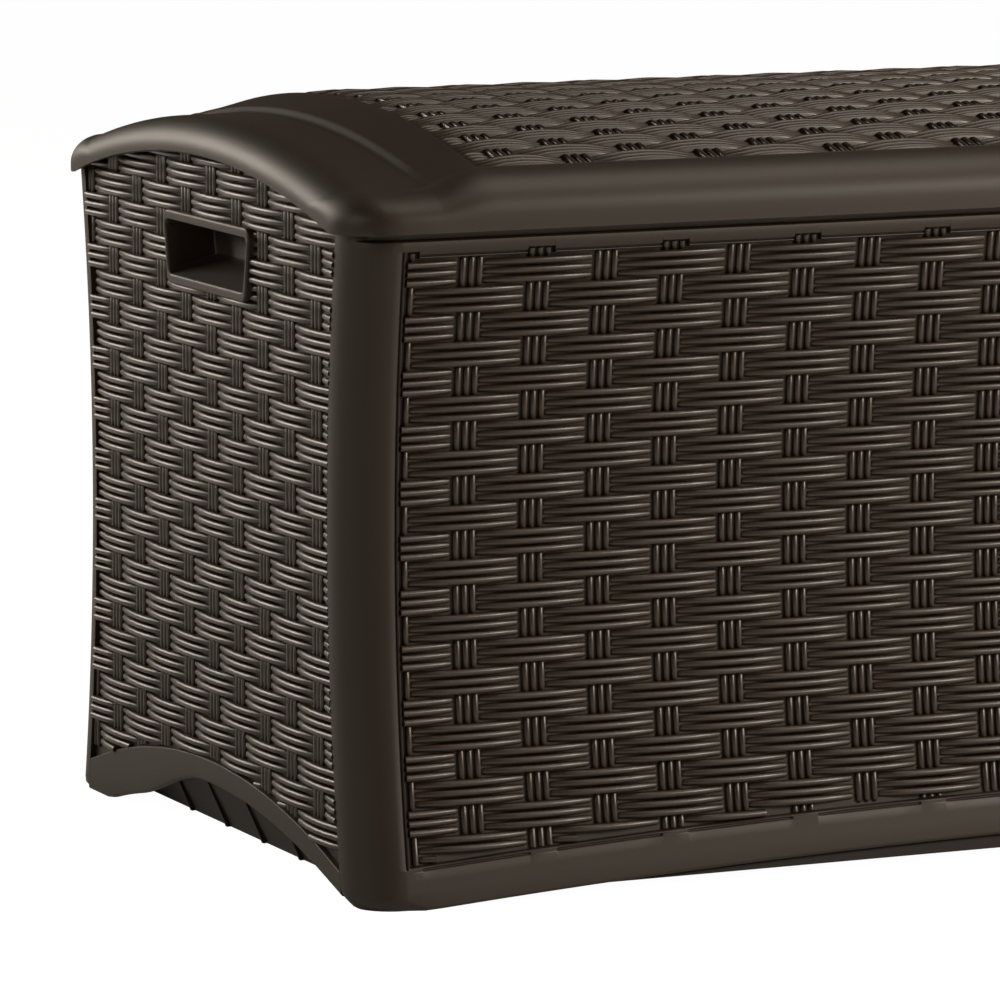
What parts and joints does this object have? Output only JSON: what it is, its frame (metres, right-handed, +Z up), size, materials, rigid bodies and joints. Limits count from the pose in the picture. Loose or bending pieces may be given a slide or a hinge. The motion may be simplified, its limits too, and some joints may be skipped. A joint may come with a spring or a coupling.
{
  "type": "deck storage box",
  "caption": "Free-standing resin garden storage box with woven-wicker panels, finger-grip cups in the ends and a domed rear-hinged lid.",
  "frame": {"origin": "on the ground under the middle of the box", "axes": "+X to the right along the length, +Y towards the hinged back, +Z up"},
  "size_m": [1.168, 0.572, 0.54],
  "materials": {
    "brown_resin": "fine moulded grain, semi-matt, dark java brown",
    "dark_resin": "matt, darker brown",
    "zinc_steel": "zinc plated"
  },
  "bodies": {
    "box": {"front_panel": "brown_resin", "back_panel": "brown_resin", "left_end_panel": "brown_resin", "right_end_panel": "brown_resin", "left_handle_cup": "brown_resin", "right_handle_cup": "brown_resin", "floor_tray": "dark_resin", "left_hinge_bracket": "zinc_steel", "left_hinge_pin": "zinc_steel", "middle_hinge_bracket": "zinc_steel", "middle_hinge_pin": "zinc_steel", "right_hinge_bracket": "zinc_steel", "right_hinge_pin": "zinc_steel", "bracket_screw_1": "zinc_steel", "bracket_screw_2": "zinc_steel", "bracket_screw_3": "zinc_steel", "bracket_screw_4": "zinc_steel", "bracket_screw_5": "zinc_steel", "bracket_screw_6": "zinc_steel"},
    "lid": {"lid_shell": "brown_resin", "lid_liner": "dark_resin", "left_hinge_leaf": "zinc_steel", "middle_hinge_leaf": "zinc_steel", "right_hinge_leaf": "zinc_steel", "leaf_rivet_1": "zinc_steel", "leaf_rivet_2": "zinc_steel", "leaf_rivet_3": "zinc_steel", "leaf_rivet_4": "zinc_steel", "leaf_rivet_5": "zinc_steel", "leaf_rivet_6": "zinc_steel"}
  },
  "joints": [
    {"name": "lid_hinge", "type": "hinge", "parent": "box", "child": "lid", "pos_m": [0, 0.2815, 0.461], "axis": [-1, 0, 0], "range_deg": [0, 100]}
  ]
}
